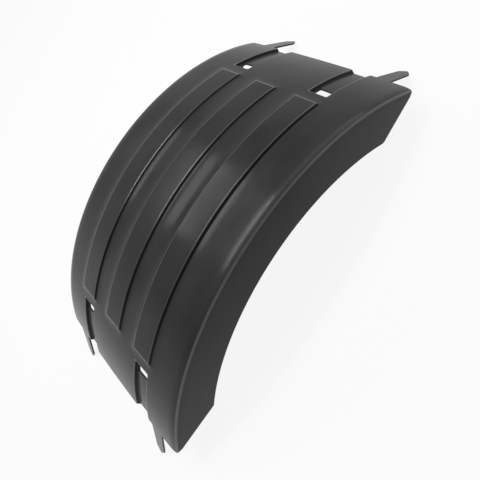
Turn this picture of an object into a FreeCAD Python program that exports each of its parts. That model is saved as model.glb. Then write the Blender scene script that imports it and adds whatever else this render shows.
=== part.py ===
import FreeCAD, Part
import math
import os
import Sketcher

# One moulded guard for a truck wheel. It is built about the wheel's axle line, which runs along Y.
# The top of the arch is on +Z, and its two ends are on -X and +X. Lengths are in mm, angles in degrees.
sizes = {
    # the arch and its skirts
    "arch_radius": 600.0,
    "arch_angle": 92.0,
    "waist_width": 445.0,
    "end_flare": 10.0,
    "skirt_depth": 103.0,
    "skirt_set_back": 55.0,
    "wall": 4.0,
    "crown_radius": 5600.0,
    "edge_bevel": 4.5,
    "corner_round": 4.0,
    # the raised bands along the top
    "band_pitch": 110.0,
    "band_width": 49.5,
    "band_slope": 8.0,
    "band_height": 5.0,
    "band_end_gap": 29.0,
    # the grooves that run out through each end
    "panel_width": 177.0,
    "groove_length": 144.0,
    "groove_width": 34.0,
    "groove_slope": 6.0,
    "groove_depth": 7.0,
    # the slot in the floor of each groove
    "slot_length": 21.0,
    "slot_width": 31.0,
    "slot_inset": 9.0,
    "slot_round": 3.0,
    # the tongue beside each groove
    "tongue_shoulder": 14.0,
    "tongue_length": 98.0,
    "tongue_width": 33.0,
    "tongue_tip_width": 26.0,
    "tongue_point": 16.0,
    # how far a cut runs past the face that it leaves through
    "overrun": 10.0,
}
band_places = (-1, 0, 1)
sides = (-1, 1)
ends = {"front": -1, "rear": 1}

doc = FreeCAD.newDocument("truck_mudguard")
sheet = doc.addObject("Spreadsheet::Sheet", "sizes")
for row, (alias, value) in enumerate(sizes.items(), start=1):
    sheet.set("A%d" % row, alias)
    sheet.set("B%d" % row, repr(value))
    sheet.setAlias("B%d" % row, alias)
doc.recompute()


def named(text):
    """Turn the plain names in a formula into references to the sheet's cells."""
    words = sorted(sizes, key=len, reverse=True)
    for place, word in enumerate(words):
        text = text.replace(word, "<%d>" % place)
    for place, word in enumerate(words):
        text = text.replace("<%d>" % place, "sizes." + word)
    return text


def value_of(text):
    """Work out a formula's number, to start a sketch near its solved shape."""
    return float(FreeCAD.Units.Quantity(sheet.evalExpression(named(text))))


def drop(across):
    """The crown: how far the top has fallen at a distance across from the middle."""
    return "(crown_radius - sqrt(crown_radius ^ 2 - (%s) ^ 2))" % across


def surface(across, lift="0"):
    """The radius of the top surface at a distance across, raised by lift."""
    return "(arch_radius + (%s) - %s)" % (lift, drop(across))


def new_sketch(body, name, plane, angle="0", radius="0"):
    """Make a sketch on an origin plane, turned about the axle and moved out to a radius."""
    planes = {item.Role: item for item in body.Origin.OriginFeatures}
    sketch = body.newObject("Sketcher::SketchObject", name)
    sketch.AttachmentSupport = [(planes[plane], "")]
    sketch.MapMode = "FlatFace"
    turn_axis = FreeCAD.Vector(1, 0, 0) if plane == "YZ_Plane" else FreeCAD.Vector(0, 1, 0)
    turning = FreeCAD.Rotation(turn_axis, value_of(angle))
    sketch.AttachmentOffset = FreeCAD.Placement(FreeCAD.Vector(), turning)
    sketch.setExpression("AttachmentOffset.Rotation.Angle", named(angle))
    if plane == "XY_Plane":
        sketch.setExpression("AttachmentOffset.Base.x", named("(%s) * sin((%s) * 1 deg)" % (radius, angle)))
        sketch.setExpression("AttachmentOffset.Base.z", named("(%s) * cos((%s) * 1 deg)" % (radius, angle)))
    return sketch


def bind(sketch, kind, geometry, point, formula):
    """Tie one coordinate of a sketch point to a formula."""
    index = sketch.addConstraint(Sketcher.Constraint(kind, geometry, point, value_of(formula)))
    sketch.setExpression("Constraints[%d]" % index, named(formula))


def add_polygon(sketch, corners):
    """Draw a closed outline of straight lines whose corners are given by formulas."""
    points = [FreeCAD.Vector(value_of(x), value_of(y), 0) for x, y in corners]
    lines = []
    for start, finish in zip(points, points[1:] + points[:1]):
        lines.append(sketch.addGeometry(Part.LineSegment(start, finish), False))
    for line, following in zip(lines, lines[1:] + lines[:1]):
        sketch.addConstraint(Sketcher.Constraint("Coincident", line, 2, following, 1))
    for line, (x, y) in zip(lines, corners):
        bind(sketch, "DistanceX", line, 1, x)
        bind(sketch, "DistanceY", line, 1, y)


def trapezoid(middle, half_narrow, spread, narrow_lift, wide_lift):
    """A section with sloping sides, its narrow side and its wide side each lifted off the top surface."""
    half_wide = "(%s + %s * abs((%s) - (%s)))" % (half_narrow, spread, wide_lift, narrow_lift)
    corners = []
    for half, lift, ways in ((half_narrow, narrow_lift, sides), (half_wide, wide_lift, sides[::-1])):
        for way in ways:
            across = "(%s + %d * %s)" % (middle, way, half)
            corners.append((across, surface(across, lift)))
    return corners


def add_crowned_section(sketch, half_width, foot_radius, inset):
    """Draw a section with upright sides and a crowned top, inset from the outer face."""
    half = value_of(half_width)
    foot = value_of(foot_radius)
    crown = value_of("crown_radius - (%s)" % inset)
    middle = FreeCAD.Vector(0, value_of("arch_radius - crown_radius"), 0)
    top = middle.y + math.sqrt(crown ** 2 - half ** 2)
    swing = math.asin(half / crown)
    upright = math.pi / 2
    left_foot = FreeCAD.Vector(-half, foot, 0)
    right_foot = FreeCAD.Vector(half, foot, 0)
    bottom = sketch.addGeometry(Part.LineSegment(left_foot, right_foot), False)
    right = sketch.addGeometry(Part.LineSegment(right_foot, FreeCAD.Vector(half, top, 0)), False)
    circle = Part.Circle(middle, FreeCAD.Vector(0, 0, 1), crown)
    arc = sketch.addGeometry(Part.ArcOfCircle(circle, upright - swing, upright + swing), False)
    left = sketch.addGeometry(Part.LineSegment(FreeCAD.Vector(-half, top, 0), left_foot), False)
    for first, second in (((bottom, 2), (right, 1)), ((right, 2), (arc, 1)), ((arc, 2), (left, 1)),
                          ((left, 2), (bottom, 1))):
        sketch.addConstraint(Sketcher.Constraint("Coincident", *first, *second))
    sketch.addConstraint(Sketcher.Constraint("Vertical", right))
    sketch.addConstraint(Sketcher.Constraint("Vertical", left))
    bind(sketch, "DistanceX", bottom, 1, "-(%s)" % half_width)
    bind(sketch, "DistanceX", bottom, 2, half_width)
    bind(sketch, "DistanceY", bottom, 1, foot_radius)
    bind(sketch, "DistanceY", bottom, 2, foot_radius)
    bind(sketch, "DistanceX", arc, 3, "0")
    bind(sketch, "DistanceY", arc, 3, "arch_radius - crown_radius")
    index = sketch.addConstraint(Sketcher.Constraint("Radius", arc, crown))
    sketch.setExpression("Constraints[%d]" % index, named("crown_radius - (%s)" % inset))


def add_segment(sketch, centre, radius, half_chord, side):
    """Draw the piece of a circle that a straight chord cuts off on the middle line's side."""
    away = value_of(centre)
    size = value_of(radius)
    half = value_of(half_chord)
    swing = math.asin(half / size)
    facing = -side * math.pi / 2
    circle = Part.Circle(FreeCAD.Vector(0, away, 0), FreeCAD.Vector(0, 0, 1), size)
    arc = sketch.addGeometry(Part.ArcOfCircle(circle, facing - swing, facing + swing), False)
    level = away - side * size * math.cos(swing)
    first = FreeCAD.Vector(side * half, level, 0)
    second = FreeCAD.Vector(-side * half, level, 0)
    chord = sketch.addGeometry(Part.LineSegment(first, second), False)
    sketch.addConstraint(Sketcher.Constraint("Coincident", arc, 2, chord, 1))
    sketch.addConstraint(Sketcher.Constraint("Coincident", chord, 2, arc, 1))
    bind(sketch, "DistanceX", arc, 3, "0")
    bind(sketch, "DistanceY", arc, 3, centre)
    bind(sketch, "DistanceX", arc, 1, "%d * %s" % (-side, half_chord))
    bind(sketch, "DistanceX", arc, 2, "%d * %s" % (side, half_chord))
    index = sketch.addConstraint(Sketcher.Constraint("Radius", arc, size))
    sketch.setExpression("Constraints[%d]" % index, named(radius))


def swept(body, kind, name, sketch, angle):
    """Turn a section about the axle, half of the angle to each side, and check what it did."""
    before = body.Shape.Volume if body.Tip else 0.0
    feature = body.newObject("PartDesign::" + kind, name)
    feature.Profile = sketch
    feature.ReferenceAxis = (sketch, ["H_Axis"])
    feature.Midplane = True
    feature.setExpression("Angle", named(angle))
    doc.recompute()
    grew = body.Shape.Volume > before
    if grew != (kind == "Revolution") or body.Shape.Volume == before:
        raise RuntimeError(name + " did not change the solid as it should")
    return feature


def picked(body, wanted):
    """The solid so far, with the names of the edges that a test picks out."""
    base = body.Tip
    edges = ["Edge%d" % (i + 1) for i, edge in enumerate(base.Shape.Edges) if wanted(edge)]
    if not edges:
        raise RuntimeError("no edge found on " + base.Name)
    return base, edges


def softened(body, kind, name, size, wanted):
    """Round or bevel the picked edges."""
    base_edges = picked(body, wanted)
    feature = body.newObject("PartDesign::" + kind, name)
    feature.Base = base_edges
    feature.setExpression("Radius" if kind == "Fillet" else "Size", named(size))
    doc.recompute()


def reach(point):
    """A point's distance from the axle line."""
    return math.hypot(point.x, point.z)


def near(a, b):
    """Whether two sizes are the same, but for rounding errors."""
    return abs(a - b) < 0.01


def pocketed(body, name, sketch, length=None):
    """Cut a sketch's outlines out of the solid, right through it or to a length, and check that it cut."""
    before = body.Shape.Volume
    feature = body.newObject("PartDesign::Pocket", name)
    feature.Profile = sketch
    feature.Midplane = length is None
    feature.setExpression("Length", named(length or "4 * arch_radius"))
    doc.recompute()
    if not body.Shape.Volume < before:
        raise RuntimeError(name + " cut nothing")


# Seen from above, each side is drawn in at the waist along one arc, whose centre is outside the guard
foot = "arch_radius - skirt_depth"
half_end = "(waist_width / 2 + end_flare)"
end_reach = "(arch_radius * sin(arch_angle / 2 * 1 deg))"
waist_radius = "((%s ^ 2 + end_flare ^ 2) / (2 * end_flare))" % end_reach
waist_centre = "(waist_width / 2 + %s)" % waist_radius


def waisted_block(name, inset, foot_radius, angle):
    """A crowned block turned about the axle, waisted, bevelled along its top edges and inset all round."""
    block = doc.addObject("PartDesign::Body", name)
    block.Label = name
    section = new_sketch(block, name + "_section", "YZ_Plane")
    add_crowned_section(section, half_end + " + overrun", foot_radius, inset)
    swept(block, "Revolution", name + "_block", section, angle)
    outline = new_sketch(block, name + "_waist_outline", "XY_Plane")
    radius = "(%s + %s)" % (waist_radius, inset)
    away = "(%s - %s - 2 * overrun)" % (waist_centre, half_end)
    half_chord = "sqrt(%s ^ 2 - %s ^ 2)" % (radius, away)
    for side in sides:
        add_segment(outline, "%d * %s" % (side, waist_centre), radius, half_chord, side)
    pocketed(block, name + "_waist", outline)
    middle = value_of("arch_radius - skirt_depth / 2")
    softened(block, "Chamfer", name + "_top_edges", "edge_bevel - (2 - sqrt(2)) * " + inset,
             lambda edge: all(reach(v.Point) > middle for v in edge.Vertexes)
             and edge.Vertexes[0].Point.x * edge.Vertexes[-1].Point.x < 0)
    return block


# The outer form, less a hollow for the wheel that lies one wall inside it
guard = waisted_block("mudguard", "0", foot, "arch_angle")
wheel_hollow = waisted_block("wheel_hollow", "wall", foot + " - overrun",
                             "arch_angle + 2 * overrun / arch_radius * 180 / pi")
hollowing = guard.newObject("PartDesign::Boolean", "hollowing")
hollowing.Type = "Cut"
hollowing.setObjects([wheel_hollow])
doc.recompute()

# The ends of the skirts, raked back towards the middle, and their free corners
rake_outline = new_sketch(guard, "rake_outline", "XZ_Plane")
rake_top = "(arch_radius - groove_depth - 3 * wall)"
rake_foot = "(%s)" % foot
rake_low = "(%s * cos(arch_angle / 2 * 1 deg) - overrun)" % rake_foot
set_back = "(arch_angle / 2 - skirt_set_back / %s * 180 / pi)" % rake_foot
for sign in ends.values():
    top_point = ["%s * %s(arch_angle / 2 * 1 deg)" % (rake_top, turn) for turn in ("sin", "cos")]
    foot_point = ["%s * %s(%s * 1 deg)" % (rake_foot, turn, set_back) for turn in ("sin", "cos")]
    starts = ["(%s + 0.2 * (%s - %s))" % (top, top, low) for top, low in zip(top_point, foot_point)]
    stops = ["(%s + 0.2 * (%s - %s))" % (low, low, top) for top, low in zip(top_point, foot_point)]
    add_polygon(rake_outline, [
        ("%d * %s" % (sign, starts[0]), starts[1]),
        ("%d * %s" % (sign, stops[0]), stops[1]),
        ("%d * %s" % (sign, stops[0]), rake_low),
        ("%d * %s" % (sign, starts[0]), rake_low),
    ])
pocketed(guard, "skirt_ends", rake_outline)
skirt_corner = value_of(foot)
softened(guard, "Fillet", "skirt_corners", "corner_round",
         lambda edge: all(near(reach(v.Point), skirt_corner) for v in edge.Vertexes)
         and edge.Length < 2 * sizes["wall"])

# The raised bands, hollow underneath so that the wall keeps its thickness
groove_start = "(arch_angle / 2 - groove_length / arch_radius * 180 / pi)"
band_end = "(%s - band_end_gap / arch_radius * 180 / pi)" % groove_start
band_lean = "(wall * tan(atan(band_height / band_slope) / 2))"
band_section = new_sketch(guard, "band_section", "YZ_Plane")
band_hollow_section = new_sketch(guard, "band_hollow_section", "YZ_Plane")
for place in band_places:
    middle = "%d * band_pitch" % place
    add_polygon(band_section, trapezoid(
        middle, "band_width / 2", "band_slope / band_height", "band_height", "-wall / 2"))
    add_polygon(band_hollow_section, trapezoid(
        middle, "(band_width / 2 - %s)" % band_lean, "band_slope / band_height",
        "band_height - wall", "-2 * wall"))
swept(guard, "Revolution", "bands", band_section, "2 * " + band_end)
swept(guard, "Groove", "band_hollows", band_hollow_section,
      "2 * (%s - wall / arch_radius * 180 / pi)" % band_end)

# The grooves, slots and tongues at each end
groove_lean = "(wall * tan(atan(groove_depth / groove_slope) / 2))"
groove_middle = "(panel_width / 2 + groove_slope + groove_width / 2)"
end_wall = "wall / arch_radius * 180 / pi"
past_end = "overrun / arch_radius * 180 / pi"
slot_angle = "(%s + (slot_inset + slot_length / 2) / arch_radius * 180 / pi)" % groove_start
tongue_middle = "(%s + groove_width / 2 + groove_slope + tongue_shoulder + tongue_width / 2)" % groove_middle

for end, sign in ends.items():
    turn = "%d * " % sign
    floor_section = new_sketch(guard, end + "_groove_floor_section", "YZ_Plane",
                               turn + "(%s - %s + arch_angle / 2) / 2" % (groove_start, end_wall))
    groove_section = new_sketch(guard, end + "_groove_section", "YZ_Plane",
                                turn + "(%s + arch_angle / 2 + %s) / 2" % (groove_start, past_end))
    for side in sides:
        middle = "%d * %s" % (side, groove_middle)
        add_polygon(floor_section, trapezoid(
            middle, "(groove_width / 2 + %s)" % groove_lean, "groove_slope / groove_depth",
            "-groove_depth - wall", "-wall / 2"))
        add_polygon(groove_section, trapezoid(
            middle, "groove_width / 2", "groove_slope / groove_depth", "-groove_depth", "wall"))
    swept(guard, "Revolution", end + "_groove_floors", floor_section,
          "arch_angle / 2 - %s + %s" % (groove_start, end_wall))
    swept(guard, "Groove", end + "_grooves", groove_section,
          "arch_angle / 2 - %s + %s" % (groove_start, past_end))

    slot_outline = new_sketch(guard, end + "_slot_outline", "XY_Plane", turn + slot_angle,
                              surface(groove_middle))
    for side in sides:
        slot_sides = ["%d * (%s + %d * slot_width / 2)" % (side, groove_middle, way) for way in sides]
        add_polygon(slot_outline, [
            ("-slot_length / 2", slot_sides[0]),
            ("slot_length / 2", slot_sides[0]),
            ("slot_length / 2", slot_sides[1]),
            ("-slot_length / 2", slot_sides[1]),
        ])
    pocketed(guard, end + "_slots", slot_outline, "groove_depth + wall + overrun")
    slot_turn = math.radians(value_of(turn + slot_angle))
    slot_way = FreeCAD.Vector(math.sin(slot_turn), 0, math.cos(slot_turn))
    slot_walls = [value_of("%s + %d * slot_width / 2" % (groove_middle, way)) for way in sides]
    softened(guard, "Fillet", end + "_slot_corners", "slot_round",
             lambda edge: any(near(abs(v.Point.y), wall) for wall in slot_walls for v in edge.Vertexes)
             and near(abs((edge.Vertexes[-1].Point - edge.Vertexes[0].Point).dot(slot_way)), edge.Length))

    tongue_outline = new_sketch(guard, end + "_tongue_outline", "XY_Plane", turn + "arch_angle / 2",
                                surface(tongue_middle))
    for side in sides:
        root_sides = ["%d * (%s + %d * tongue_width / 2)" % (side, tongue_middle, way) for way in sides]
        tip_sides = ["%d * (%s + %d * tongue_tip_width / 2)" % (side, tongue_middle, way) for way in sides]
        add_polygon(tongue_outline, [
            ("%d * -wall" % sign, root_sides[0]),
            ("%d * (tongue_length - tongue_point)" % sign, tip_sides[0]),
            ("%d * tongue_length" % sign, "%d * %s" % (side, tongue_middle)),
            ("%d * (tongue_length - tongue_point)" % sign, tip_sides[1]),
            ("%d * -wall" % sign, root_sides[1]),
        ])
    before = guard.Shape.Volume
    tongues = guard.newObject("PartDesign::Pad", end + "_tongues")
    tongues.Profile = tongue_outline
    tongues.Reversed = True
    tongues.setExpression("Length", named("wall"))
    doc.recompute()
    if not guard.Shape.Volume > before:
        raise RuntimeError(end + " tongues added nothing")

# Stand the guard on its lowest points, with the origin under the middle of its box
box = guard.Shape.optimalBoundingBox(False)
guard.Placement.Base = FreeCAD.Vector(0, 0, -box.ZMin)
doc.recompute()

for item in doc.Objects:
    if "Invalid" in item.State or "Error" in item.State:
        raise RuntimeError(item.Name + " failed")
if guard.Shape.isNull() or not guard.Shape.isValid() or len(guard.Shape.Solids) != 1:
    raise RuntimeError("mudguard is not one valid solid")

os.makedirs("parts", exist_ok=True)
guard.Shape.exportStep("parts/%s.step" % guard.Label)
print("%s: %.0f mm3" % (guard.Label, guard.Shape.Volume))
print("box:", guard.Shape.optimalBoundingBox(False))
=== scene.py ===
import math

import bpy
import numpy as np
from mathutils import Matrix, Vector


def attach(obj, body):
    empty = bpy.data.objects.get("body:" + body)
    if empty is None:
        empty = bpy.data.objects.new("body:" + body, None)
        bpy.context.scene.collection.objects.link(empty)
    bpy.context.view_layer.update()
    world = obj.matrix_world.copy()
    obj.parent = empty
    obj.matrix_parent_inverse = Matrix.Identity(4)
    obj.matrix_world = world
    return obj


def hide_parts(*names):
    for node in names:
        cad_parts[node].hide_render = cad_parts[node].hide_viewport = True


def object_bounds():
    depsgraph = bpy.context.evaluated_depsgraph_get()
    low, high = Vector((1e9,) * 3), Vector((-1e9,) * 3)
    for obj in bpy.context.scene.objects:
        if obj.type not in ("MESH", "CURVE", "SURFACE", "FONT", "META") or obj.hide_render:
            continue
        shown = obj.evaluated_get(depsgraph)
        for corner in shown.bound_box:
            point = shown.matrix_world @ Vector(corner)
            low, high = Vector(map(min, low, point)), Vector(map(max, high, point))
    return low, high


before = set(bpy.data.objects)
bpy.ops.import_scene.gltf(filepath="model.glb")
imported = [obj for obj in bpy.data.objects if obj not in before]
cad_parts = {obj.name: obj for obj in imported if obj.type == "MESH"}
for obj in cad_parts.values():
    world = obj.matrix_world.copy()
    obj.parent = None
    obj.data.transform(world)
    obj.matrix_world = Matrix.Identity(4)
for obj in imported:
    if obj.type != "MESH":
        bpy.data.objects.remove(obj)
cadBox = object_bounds()
print("frame loaded")


class Wire:  # a socket with maths: an expression on wires adds Math nodes
    def __init__(self, tree, socket):
        self.tree = tree
        self.socket = socket

    def math(self, operation, other, swapped=False):
        values = [other, self] if swapped else [self, other]
        return self.tree.node("ShaderNodeMath", {"operation": operation}, dict(enumerate(values)))

    def __add__(self, other):
        return self.math("ADD", other)

    def __sub__(self, other):
        return self.math("SUBTRACT", other)

    def __rsub__(self, other):
        return self.math("SUBTRACT", other, True)

    def __mul__(self, other):
        return self.math("MULTIPLY", other)

    __radd__ = __add__
    __rmul__ = __mul__


class Shader:  # the node tree of a material or a world
    def __init__(self, holder):
        holder.use_nodes = True
        self.nodes = holder.node_tree.nodes
        self.links = holder.node_tree.links
        self.nodes.clear()

    def node(self, kind, settings=None, inputs=None, output=0):
        made = self.nodes.new(kind)
        for key, value in (settings or {}).items():
            setattr(made, key, value)
        for key, value in (inputs or {}).items():
            if isinstance(value, Wire):
                self.links.new(value.socket, made.inputs[key])
            else:
                made.inputs[key].default_value = value
        return Wire(self, made.outputs[output]) if made.outputs else None


def unit(vector):  # the vector over its length
    return np.array(vector) / np.linalg.norm(vector)


def added(name, data):
    made = bpy.data.objects.new(name, data)
    bpy.context.scene.collection.objects.link(made)
    return made


def stand(thing, right, back, place):  # its right, its up, which is square to both, its back and its place
    turn = np.eye(4)
    turn[:3] = np.column_stack([right, np.cross(back, right), back, place])
    thing.matrix_world = Matrix(turn.tolist())


plasticLook = {
    "dark": (0.027, 0.0272, 0.0276, 1),
    "pale": (0.042, 0.0423, 0.0428, 1),
    # rubbed edges, made paler still as a painted highlight
    "rubbedHighlight": (0.24, 0.241, 0.243, 1),
    # painted shade for the slopes of the bands and grooves
    "paintedShade": (0.004, 0.004, 0.0042, 1),
    "clouds": 8,  # per metre
    "cloudShare": 0.75,  # of the change from dark to pale; the streaks make the rest
    "shadeRange": (0.3, 0.7),
    "streaks": (3, 30, 3),  # long the way the arch runs, close across it
    "scratches": (6, 700, 6),
    "scratchRange": (0.66, 0.74),
    "rubHighlightShare": 0.36,
    "scratchPale": 0.015,
    "roughness": 0.20,
    "cloudRough": 0.18,  # added to the roughness, as are the next four
    "streakRough": 0.08,
    "scratchRough": 0.04,
    "rubRough": -0.12,
    "creaseRough": 0.2,
    "grain": 900,
    "grainHeight": 0.0001,
    "grainStrength": 0.25,
    "streakHeight": 0.6,  # in grains
    "specular": 0.10,
    "coatRoughness": 0.24,
    "coatIor": 1.6,
}


def blackPlastic(look):
    # dark to pale by clouds and streaks, darker on the slopes by painted shade, and paler and glossier along
    # the edges, where rubbed wear carries a painted highlight
    material = bpy.data.materials.new("black_plastic")
    sh = Shader(material)
    place = sh.node("ShaderNodeTexCoord", output="Object")
    rubAndHighlight, paintedShade = (
        sh.node("ShaderNodeAttribute", {"attribute_name": name}, output="Fac") for name in ("rubAndHighlight", "paintedShade")
    )

    def noise(scale, detail, stretch=(1, 1, 1)):
        spot = sh.node("ShaderNodeVectorMath", {"operation": "MULTIPLY"}, {0: place, 1: stretch})
        return sh.node("ShaderNodeTexNoise", inputs={"Vector": spot, "Scale": scale, "Detail": detail})

    def spread(value, low, high):  # 0 at low to 1 at high
        return sh.node("ShaderNodeMapRange", inputs={0: value, 1: low, 2: high, 3: 0.0, 4: 1.0})

    def blend(share, colour, other):
        return sh.node("ShaderNodeMix", {"data_type": "RGBA"}, {0: share, 6: colour, 7: other}, output=2)

    cloud = noise(look["clouds"], 5)
    streak = noise(1, 3, look["streaks"])
    scratch = spread(noise(1, 1, look["scratches"]), *look["scratchRange"])
    grain = noise(look["grain"], 2)
    mottle = cloud * look["cloudShare"] + streak * (1 - look["cloudShare"])
    colour = blend(spread(mottle, *look["shadeRange"]), look["dark"], look["pale"])
    # painted shade darkens the slopes of the bands and grooves
    colour = blend(paintedShade, colour, look["paintedShade"])
    # paler along the edges: rubbed wear and a painted highlight
    colour = blend(rubAndHighlight * look["rubHighlightShare"] + scratch * look["scratchPale"], colour, look["rubbedHighlight"])
    rough = look["roughness"] + (cloud - 0.5) * look["cloudRough"] + (streak - 0.5) * look["streakRough"]
    rough = rough + scratch * look["scratchRough"] + rubAndHighlight * look["rubRough"] + paintedShade * look["creaseRough"]
    bump = sh.node("ShaderNodeBump", inputs={
        "Strength": look["grainStrength"],
        "Distance": look["grainHeight"],
        "Height": grain + streak * look["streakHeight"],
    })
    skin = sh.node("ShaderNodeBsdfPrincipled", inputs={
        "Base Color": colour,
        "Roughness": rough,
        "Normal": bump,
        "Specular IOR Level": look["specular"],
        "Coat Weight": rubAndHighlight,
        "Coat Roughness": look["coatRoughness"],
        "Coat IOR": look["coatIor"],
    })
    sh.node("ShaderNodeOutputMaterial", inputs={"Surface": skin})
    return material


guardSize = {  # metres; arc lengths are measured at the arch radius, from the top of the arch
    "axleDrop": 0.605,  # from the top of the bands down to the wheel's axle
    "archRadius": 0.600,
    "endArc": 0.4817,
    "waistHalf": 0.2225,
    "endFlare": 0.010,
    "crownRadius": 5.6,
    "edgeRound": 0.005,
    "shoulderReach": 0.016,  # the strip beside the edge that leans over before the edge turns down
    "shoulderDrop": 0.0018,
    "skirtDepth": 0.103,
    "rakeStart": 0.581,  # the radius where the skirt's end leaves the end plane
    "rakeBack": 0.055,
    "cornerRound": 0.004,
    "wall": 0.004,
    "rimBulge": 0.0007,
    "rimShare": 0.22,  # of the wall that goes into the round at each side of its rim
    "softness": 0.3,  # the share of a slope that goes into its rounded head and foot
    "sharpAngle": 38,  # degrees
}
bandSize = {
    "middles": (-0.110, 0.0, 0.110),
    "half": 0.0258,
    "halfArc": 0.3045,
    "slope": 0.0060,
    "height": 0.0049,
    "tail": 0.023,  # the reach of the shallow sweep at the foot of the slope
    "tailShare": 0.40,  # of the height
    "tailPower": 2.4,
}
grooveSize = {
    "inner": 0.0885,
    "outer": 0.1345,
    "slope": 0.006,
    "depth": 0.007,
    "start": 0.3372,
    "startSlope": 0.005,
}
slotSize = {"middleArc": 0.3572, "halfArc": 0.0112, "middle": 0.1115, "half": 0.0162, "round": 0.0035}
tongueSize = {
    "inner": 0.1485,
    "outer": 0.1815,
    "length": 0.0968,
    "tipHalf": 0.013,
    "point": 0.016,
    "noseHalf": 0.0022,
    "shankRows": 8,
    "pointRows": (0.35, 0.7, 1),  # shares of the point
}


def softRamp(t):
    # 0 to 1 up a slope: a straight ramp averaged over a short window, so its head and foot are rounded
    soft = guardSize["softness"]

    def area(x):
        return np.where(x < 0, 0, np.where(x < 1, x * x / 2, x - 0.5))

    return (area(t + soft / 2) - area(t - soft / 2)) / soft


def pastBand(arc, across):  # how far a point lies past the end and past the side of the nearest band's top
    nearest = np.min([np.abs(across - middle) for middle in bandSize["middles"]], axis=0)
    return np.abs(arc) - bandSize["halfArc"], nearest - bandSize["half"]


def reliefSteps(arc, across):
    # 1 on a band or in a groove and 0 beyond it: each step is a product of ramps, one for each side
    band, groove, side = bandSize, grooveSize, np.abs(across)
    pastEnd, pastSide = pastBand(arc, across)
    bandStep = softRamp(1 - pastEnd / band["slope"]) * softRamp(1 - pastSide / band["slope"])
    inner = softRamp((side - groove["inner"]) / groove["slope"])
    outer = softRamp((groove["outer"] - side) / groove["slope"])
    start = softRamp((np.abs(arc) - groove["start"]) / groove["startSlope"])
    return bandStep, inner * outer * start


def reliefHeight(arc, across):
    # bands rise and grooves sink by their steps, and a band's sweep falls off as a power of the way past it
    band = bandSize
    bandStep, grooveStep = reliefSteps(arc, across)
    ways = [np.maximum(past - band["slope"] / 2, 0) for past in pastBand(arc, across)]
    tails = [np.clip(1 - way / band["tail"], 0, 1) for way in ways]
    sweep = (tails[0] * tails[1]) ** band["tailPower"]
    lift = band["height"] * ((1 - band["tailShare"]) * bandStep + band["tailShare"] * sweep)
    return lift - grooveSize["depth"] * grooveStep


# rubbed lines along the edges: wear, and a painted highlight where the edges catch light
wearHighlightLook = {
    "width": 0.0009,  # of a rubbed line, in metres
    "headShift": 0.0003,  # from the edge of a band's top out to its line
    "ends": 1.0,  # strength at the ends of the bands and along the grooves
    "sides": 0.6,
    "rounds": 0.75,
}


# painted shade: the slopes of the bands and grooves are darkened where shade falls on them
def paintedSlopeShade(arc, lines):  # 0 to 1: strongest half way down each slope, where the step is a half
    steps = reliefSteps(arc[:, None], lines["level"][None])
    return np.sqrt(np.max([4 * step * (1 - step) for step in steps], axis=0).clip(0))


def rubbedHighlightEdges(arc, lines):
    # 0 to 1, for rubbed wear with a painted highlight: a bell curve of the way from the head of a slope, and
    # the root of a half sine over the side round
    wearAndPaintedLight, groove = wearHighlightLook, grooveSize
    arc, across = np.abs(arc)[:, None], np.abs(lines["level"])[None]
    bandHead = np.maximum(*pastBand(arc, across)) - wearAndPaintedLight["headShift"]
    inGroove = np.minimum(across - groove["inner"], groove["outer"] - across)
    grooveHead = np.minimum(inGroove, arc - groove["start"])
    bell = np.exp(-np.minimum(bandHead ** 2, grooveHead ** 2) / wearAndPaintedLight["width"] ** 2)
    strength = np.where(arc > bandSize["halfArc"] - wearAndPaintedLight["width"], wearAndPaintedLight["ends"], wearAndPaintedLight["sides"])
    rounding = np.sqrt(np.sin(np.minimum(np.abs(lines["bend"]), 1) * math.pi).clip(0))
    return strength * bell * (lines["stretch"] == 0) + wearAndPaintedLight["rounds"] * rounding * (lines["skirt"] == 0)


def crownFall(across):  # the fall of a wide circle: the square of the way across over twice its radius
    return across ** 2 / (2 * guardSize["crownRadius"])


def halfWidthAt(along):
    # from above, each side is drawn in at the waist: the flare grows with the square of the way along
    s = guardSize
    endAlong = s["archRadius"] * np.sin(s["endArc"] / s["archRadius"])
    return s["waistHalf"] + s["endFlare"] * (along / endAlong) ** 2


def endAngleAt(radius):
    # the end plane's angle, and below the rake's start the angle of a straight line to the foot
    s = guardSize
    endAngle = s["endArc"] / s["archRadius"]
    foot = s["archRadius"] - s["skirtDepth"]
    way = np.linspace(1, 0, 40)
    footAngle = endAngle - s["rakeBack"] / foot
    x = foot * np.sin(footAngle) * way + s["rakeStart"] * np.sin(endAngle) * (1 - way)
    z = foot * np.cos(footAngle) * way + s["rakeStart"] * np.cos(endAngle) * (1 - way)
    return np.interp(radius, np.hypot(x, z), np.arctan2(x, z))


def roundSlots(arc, across):  # slides the rim of each slot, near its corners, onto quarter circles
    s, size, close = slotSize, slotSize["round"], 1e-6
    inArc = s["halfArc"] - np.abs(np.abs(arc) - s["middleArc"])
    inAcross = s["half"] - np.abs(np.abs(across) - s["middle"])
    onEnd = (np.abs(inArc) < close) & (inAcross > -close) & (inAcross < size)
    onSide = (np.abs(inAcross) < close) & (inArc > -close) & (inArc < size)
    swing = math.pi / 4 * (1 + np.where(onEnd, inAcross, inArc) / size)
    short, long = size * (1 - np.sin(swing)), size * (1 - np.cos(swing))
    newArc = np.where(onEnd, short, np.where(onSide, long, inArc))
    newAcross = np.where(onEnd, long, np.where(onSide, short, inAcross))
    arcShift = (newArc - inArc) * np.sign(s["middleArc"] - np.abs(arc)) * np.sign(arc)
    acrossShift = (newAcross - inAcross) * np.sign(s["middle"] - np.abs(across)) * np.sign(across)
    return arc + arcShift, across + acrossShift


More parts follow.
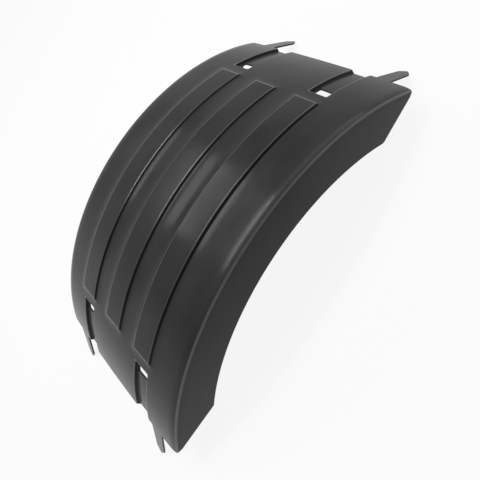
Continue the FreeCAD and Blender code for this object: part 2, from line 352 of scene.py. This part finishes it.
gridLook = {  # metres and counts of lines
    "arcGap": 0.009,
    "levelGap": 0.010,
    "levelEnd": 0.190,  # past here the lines are stretched out to the side edge
    "margin": 0.002,  # the closer lines of a slope start this far before it and end this far past it
    "sweepMargin": 0.003,
    "shoulderLines": 9,
    "roundLines": 10,
    "endStrip": 0.012,
}


def gatherLines(stop, gap, closeUps):
    # even lines from 0 to stop, with a closer set wherever (from, to, count) asks
    lines = np.linspace(0, stop, int(round(stop / gap)) + 1)
    for low, high, count in closeUps:
        kept = lines[(lines < low - gap / 4) | (lines > high + gap / 4)]
        lines = np.concatenate([kept, np.linspace(low, high, count)])
    return np.sort(lines)


def mirrored(lines):  # the lines and their mirror image, with the first line once
    return np.concatenate([-lines[:0:-1], lines])


def sectionLines():
    # the half section as four runs of lines: level across, stretched out to the round, turned round it,
    # and down the skirt; each run holds its last value through the later ones
    grid, slot, tongue, band = gridLook, slotSize, tongueSize, bandSize
    low, high = slot["middle"] - slot["half"], slot["middle"] + slot["half"]
    head, foot = band["half"] - grid["margin"], band["half"] + band["slope"] + grid["margin"]
    sweep, sweepEnd = band["half"] + band["slope"] + grid["sweepMargin"], band["half"] + band["tail"]
    outerBand = band["middles"][2]
    level = gatherLines(grid["levelEnd"], grid["levelGap"], [
        (head, foot, 12),
        (sweep, sweepEnd, 6),
        (outerBand - sweepEnd, outerBand - sweep, 6),
        (outerBand - foot, low, 26),
        (low, low + slot["round"], 5),
        (high - slot["round"], high, 5),
        (high, outerBand + foot, 22),
        (tongue["inner"], tongue["outer"], 9),
    ])
    runs = {
        "level": level,
        "stretch": np.linspace(0, 1, grid["shoulderLines"] + 1)[1:],
        "bend": np.linspace(0, 1, grid["roundLines"] + 1)[1:],
        "skirt": gatherLines(1, 0.1, [(0.88, 1, 7)])[1:],  # shares of the way down, closer at the foot
    }
    count = sum(len(run) for run in runs.values())
    table = {}
    start = 0
    for name, run in runs.items():
        column = np.zeros(count)
        column[start:start + len(run)] = run
        column[start + len(run):] = run[-1]
        table[name] = mirrored(column)
        start += len(run)
    return table


def arcLines():  # lines along the arch, closer at the ends of bands and grooves, at the slots and at the rim
    s, grid, band, groove, slot = guardSize, gridLook, bandSize, grooveSize, slotSize
    low, high = slot["middleArc"] - slot["halfArc"], slot["middleArc"] + slot["halfArc"]
    margin = grid["margin"]
    return mirrored(gatherLines(s["endArc"], grid["arcGap"], [
        (band["halfArc"] - margin, band["halfArc"] + band["slope"] + margin, 11),
        (groove["start"] - margin, groove["start"] + groove["startSlope"] + margin, 9),
        (low, low + slot["round"], 5),
        (high - slot["round"], high, 5),
        (s["endArc"] - grid["endStrip"], s["endArc"], 7),
    ]))


def sheetPoints(arc, lines, inset):
    # one face of the shell: a crowned top with leaning shoulders, a round and a skirt on each side, all turned
    # about the axle. The inset moves every part inwards along its own normal, which gives the inner face
    s = guardSize
    side = np.sign(lines["level"])
    level, stretch, bend, skirt = (np.abs(lines[name])[None] for name in ("level", "stretch", "bend", "skirt"))
    arc, level = np.broadcast_arrays(arc[:, None], level)
    arc, across = roundSlots(arc, level * side)
    angle = arc / s["archRadius"]
    # the top, whose shoulder falls with the square of the way into it
    steepest = 2 * s["shoulderDrop"] / s["shoulderReach"]
    lean = math.atan(steepest)
    topEnd = halfWidthAt(s["archRadius"] * np.sin(angle)) - s["edgeRound"] * (1 - math.sin(lean))
    onTop = (bend == 0) & (skirt == 0)
    reach = np.abs(across) + (topEnd - np.abs(across)) * stretch
    into = np.clip(1 - (topEnd - reach) / s["shoulderReach"], 0, 1)
    tilt = np.arctan(steepest * into)
    topFall = crownFall(reach) + s["shoulderDrop"] * into ** 2
    relief = reliefHeight(arc, across) * (stretch == 0)
    topRadius = s["archRadius"] - topFall + relief - inset * np.cos(tilt)
    # the round, which goes on from the shoulder's lean to upright, and the skirt
    centre = s["archRadius"] - crownFall(topEnd) - s["shoulderDrop"] - s["edgeRound"] * math.cos(lean)
    roundSize = s["edgeRound"] - inset
    turned = lean + bend * (math.pi / 2 - lean)
    foot = s["archRadius"] - s["skirtDepth"]
    radius = np.where(onTop, topRadius, centre + roundSize * np.cos(turned) + (foot - centre) * skirt)
    # the outer half of each side is squeezed to the raked end, and its corner is drawn in to a round one
    end, pivot = endAngleAt(radius), 0.5 * s["endArc"] / s["archRadius"]
    squeezed = pivot + (np.abs(angle) - pivot) * (end - pivot) / pivot
    swing = np.where(np.abs(angle) > pivot, squeezed, np.abs(angle))
    toEnd, toFoot = (end - swing) * radius, radius - foot
    p, q = (np.clip(1 - way / s["cornerRound"], 0, 1) for way in (toEnd, toFoot))
    radius = radius + s["cornerRound"] * q * (1 - np.sqrt(1 - p * p / 2))
    toEnd = toEnd + s["cornerRound"] * p * (1 - np.sqrt(1 - q * q / 2))
    swing = np.sign(angle) * (endAngleAt(radius) - toEnd / radius)
    sideReach = halfWidthAt(radius * np.sin(swing)) - s["edgeRound"] + roundSize * np.sin(turned)
    y = np.where(onTop, reach - inset * np.sin(tilt), sideReach) * side
    return np.stack([radius * np.sin(swing), y, radius * np.cos(swing)], -1)


def tonguePoints(lines, end, inset):
    # a flat strip that goes on from the end plane in a straight line, narrowing to its tip and then to a point
    s, tongue = guardSize, tongueSize
    shank = tongue["length"] - tongue["point"]
    shankRows = np.linspace(0, shank, tongue["shankRows"] + 1)[1:]
    out = np.concatenate([shankRows, shank + tongue["point"] * np.array(tongue["pointRows"])])
    rootHalf = (tongue["outer"] - tongue["inner"]) / 2
    half = np.interp(out, [0, shank, tongue["length"]], [rootHalf, tongue["tipHalf"], tongue["noseHalf"]])
    middle = (tongue["outer"] + tongue["inner"]) / 2 * np.sign(lines[0])
    y = middle + (lines - middle)[None] * (half / rootHalf)[:, None]
    radius, angle = s["archRadius"] - crownFall(y) - inset, s["endArc"] / s["archRadius"]
    x = radius * math.sin(angle) + out[:, None] * math.cos(angle)
    z = radius * math.cos(angle) - out[:, None] * math.sin(angle)
    return np.stack([x * end, y, z], -1)


def quads(index):  # each cell of a grid of point numbers as a face of four
    return np.stack([index[:-1, :-1], index[1:, :-1], index[1:, 1:], index[:-1, 1:]], -1)


def guardFaces(arc, lines):  # the grid's cells but for the slots, with a block of cells for each tongue
    slot, tongue, close = slotSize, tongueSize, 1e-6
    level = lines["level"]
    index = np.arange(len(arc) * len(level)).reshape(len(arc), len(level))
    arcMiddle, levelMiddle = (arc[1:] + arc[:-1]) / 2, (level[1:] + level[:-1]) / 2
    inArc = np.abs(np.abs(arcMiddle) - slot["middleArc"]) < slot["halfArc"]
    inAcross = np.abs(np.abs(levelMiddle) - slot["middle"]) < slot["half"]
    faces = [quads(index)[~(inArc[:, None] & inAcross[None])]]
    onTongue = (np.abs(level) > tongue["inner"] - close) & (np.abs(level) < tongue["outer"] + close)
    blocks = []
    count = index.size
    for end in (-1, 1):
        for side in (-1, 1):
            columns = np.nonzero(onTongue & (np.sign(level) == side))[0]
            blocks.append((level[columns], end))
            rows = len(tonguePoints(level[columns], end, 0))
            fresh = count + np.arange(rows * len(columns)).reshape(rows, -1)
            count += fresh.size
            block = np.vstack([index[-1 if end > 0 else 0, columns], fresh])
            faces.append(quads(block[::end]).reshape(-1, 4))
    return np.concatenate(faces), blocks


def closedShell(outer, inner, faces):
    # joins two sheets along every free edge with a rim of three strips, the middle one pushed out a little
    used, packed = np.unique(faces, return_inverse=True)
    outer, inner, faces = outer[used], inner[used], packed.reshape(faces.shape)
    count = len(outer)
    edges = np.stack([faces, np.roll(faces, -1, 1)], -1).reshape(-1, 2)
    _, place, uses = np.unique(np.sort(edges, 1), axis=0, return_inverse=True, return_counts=True)
    free = edges[uses[place.ravel()] == 1]
    outward = np.zeros_like(outer)
    push = np.cross(outer[free[:, 1]] - outer[free[:, 0]], (outer - inner)[free[:, 0]])
    push = push / np.linalg.norm(push, axis=1, keepdims=True)
    np.add.at(outward, free[:, 0], push)
    np.add.at(outward, free[:, 1], push)
    rim, packed = np.unique(free, return_inverse=True)
    bulge = outward[rim] / np.linalg.norm(outward[rim], axis=1, keepdims=True) * guardSize["rimBulge"]
    share = guardSize["rimShare"]
    upper = outer[rim] * (1 - share) + inner[rim] * share + bulge
    lower = outer[rim] * share + inner[rim] * (1 - share) + bulge
    fresh = packed.reshape(free.shape) + 2 * count
    rows = [free, fresh, fresh + len(rim), free + count]
    strips = [np.column_stack([a[:, 1], a[:, 0], b[:, 0], b[:, 1]]) for a, b in zip(rows, rows[1:])]
    points = np.concatenate([outer, inner, upper, lower])
    return points, np.concatenate([faces, faces[:, ::-1] + count] + strips)


def buildGuard():
    # the outer sheet and, one wall further in, the inner one, closed along their rims and stood on the frame
    arc, lines = arcLines(), sectionLines()
    faces, blocks = guardFaces(arc, lines)
    sheets = []
    for inset in (0, guardSize["wall"]):
        tongues = [tonguePoints(columns, end, inset).reshape(-1, 3) for columns, end in blocks]
        sheets.append(np.concatenate([sheetPoints(arc, lines, inset).reshape(-1, 3)] + tongues))
    wearAndPaintedLight = np.zeros((2, len(sheets[0])))
    gridCount = len(arc) * len(lines["level"])
    # rubbed wear with its painted highlight, and painted shade on the slopes
    wearAndPaintedLight[:, :gridCount] = rubbedHighlightEdges(arc, lines).ravel(), paintedSlopeShade(arc, lines).ravel()
    wearAndPaintedLight = wearAndPaintedLight[:, np.unique(faces)]
    points, faces = closedShell(*sheets, faces)
    points[:, 2] += cadBox[1][2] - guardSize["axleDrop"]
    mesh = bpy.data.meshes.new("mudguard_skin")
    mesh.from_pydata(points, [], faces)
    mesh.shade_smooth()
    for name, values in zip(("rubAndHighlight", "paintedShade"), wearAndPaintedLight):
        values = np.pad(values, (0, len(points) - len(values)))  # none on the inner face and the rims
        mesh.attributes.new(name, "FLOAT", "POINT").data.foreach_set("value", values)
    mesh.set_sharp_from_angle(angle=math.radians(guardSize["sharpAngle"]))
    return added("mudguard_skin", mesh)


guard = buildGuard()
guard.data.materials.append(blackPlastic(plasticLook))
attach(guard, "root")
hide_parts("mudguard")
print("mudguard built:", len(guard.data.polygons), "faces")

white = (1, 1, 1, 1)
stageLook = {"size": 12, "floorColour": (0.8, 0.8, 0.8, 1), "glow": 0.9}


def backgroundRays(sh):
    # 1 for a ray that shows the background, straight or by reflection; 0 for one that carries light
    kinds = ("Is Camera Ray", "Is Glossy Ray", "Is Transmission Ray")
    seen, shiny, clear = (sh.node("ShaderNodeLightPath", output=kind) for kind in kinds)
    return seen + shiny + clear


def stageFloor(look):  # a square that glows white as background and still takes some of the shadow
    half = look["size"] / 2
    corners = [(-half, -half, 0), (half, -half, 0), (half, half, 0), (-half, half, 0)]
    mesh = bpy.data.meshes.new("floor")
    mesh.from_pydata(corners, [], [(0, 1, 2, 3)])
    floor = added("floor", mesh)
    material = bpy.data.materials.new("pale_floor")
    sh = Shader(material)
    paint = sh.node("ShaderNodeBsdfDiffuse", inputs={"Color": look["floorColour"]})
    glow = sh.node("ShaderNodeEmission", inputs={"Color": white, "Strength": 1})
    mixed = sh.node("ShaderNodeMixShader", inputs={0: backgroundRays(sh) * look["glow"], 1: paint, 2: glow})
    sh.node("ShaderNodeOutputMaterial", inputs={"Surface": mixed})
    mesh.materials.append(material)


stageFloor(stageLook)

lightLook = {
    "world": 0.12,
    "white": 0.95,  # close to the floor's own white, so that no horizon shows
    "whiteTo": 0.34,  # the sky is white up to this height
    "softFrom": 0.6,  # and soft from this one
    "aim": (0, 0, 0.25),  # the lamps face this point
}
lamps = {  # name: place, length along X, width, watts
    "key": ((-0.1, -0.5, 2.4), 1.6, 0.15, 27),
    "mid": ((-0.1, -0.85, 2.4), 1.6, 0.15, 12),
    "far": ((-0.1, -1.7, 2.2), 1.7, 0.25, 15),
    "strip": ((-1.15, -0.2, 1.55), 3.0, 0.4, 10),
}


def studioLight(look, lampTable):  # a soft sky, white near the horizon as background, and a row of long lamps
    sky = bpy.data.worlds.new("studio")
    bpy.context.scene.world = sky
    sh = Shader(sky)
    soft = sh.node("ShaderNodeBackground", inputs={"Color": white, "Strength": look["world"]})
    bright = sh.node("ShaderNodeBackground", inputs={"Color": white, "Strength": look["white"]})
    way = sh.node("ShaderNodeTexCoord", output="Generated")
    height = sh.node("ShaderNodeSeparateXYZ", inputs={0: way}, output="Z")
    low = sh.node("ShaderNodeMapRange", inputs={
        0: height, 1: look["whiteTo"], 2: look["softFrom"], 3: 1.0, 4: 0.0,
    })
    mixed = sh.node("ShaderNodeMixShader", inputs={0: backgroundRays(sh) * low, 1: soft, 2: bright})
    sh.node("ShaderNodeOutputWorld", inputs={"Surface": mixed})
    for name, (place, length, width, watts) in lampTable.items():
        lamp = bpy.data.lights.new(name, "AREA")
        lamp.shape = "RECTANGLE"
        lamp.size = length
        lamp.size_y = width
        lamp.energy = watts
        back = unit(np.subtract(place, look["aim"]))
        right = unit(np.cross((0, 1, 0.01), back))  # level and along X, as near as the lamp's tilt lets it be
        stand(added(name, lamp), right, back, place)


studioLight(lightLook, lamps)

cameraLook = {
    "place": (-0.05702, 0.60234, 1.16814),  # metres from the wheel's axle
    "right": (-0.54167, 0.66943, -0.50839),
    "down": (0.84054, 0.43802, -0.31880),
    "frame": 480,  # pixels
    "focal": 420.05,  # pixels
    "middle": (240.58, 208.54),  # pixels
    "sensor": 36,  # millimetres
}


def photoCamera(look):  # the fitted view: the down direction is made square to the right one first
    data = bpy.data.cameras.new("photo_view")
    camera = added("photo_view", data)
    right = unit(look["right"])
    up = -np.array(look["down"])
    up = unit(up - right * (right @ up))
    axle = np.array((0, 0, cadBox[1][2] - guardSize["axleDrop"]))
    stand(camera, right, np.cross(right, up), axle + look["place"])
    data.sensor_width = look["sensor"]
    data.lens = look["focal"] / look["frame"] * look["sensor"]
    data.shift_x = (look["frame"] / 2 - look["middle"][0]) / look["frame"]
    data.shift_y = (look["middle"][1] - look["frame"] / 2) / look["frame"]
    bpy.context.scene.camera = camera


photoCamera(cameraLook)
bpy.context.scene.view_settings.view_transform = "Standard"
print("stage, light and camera set")
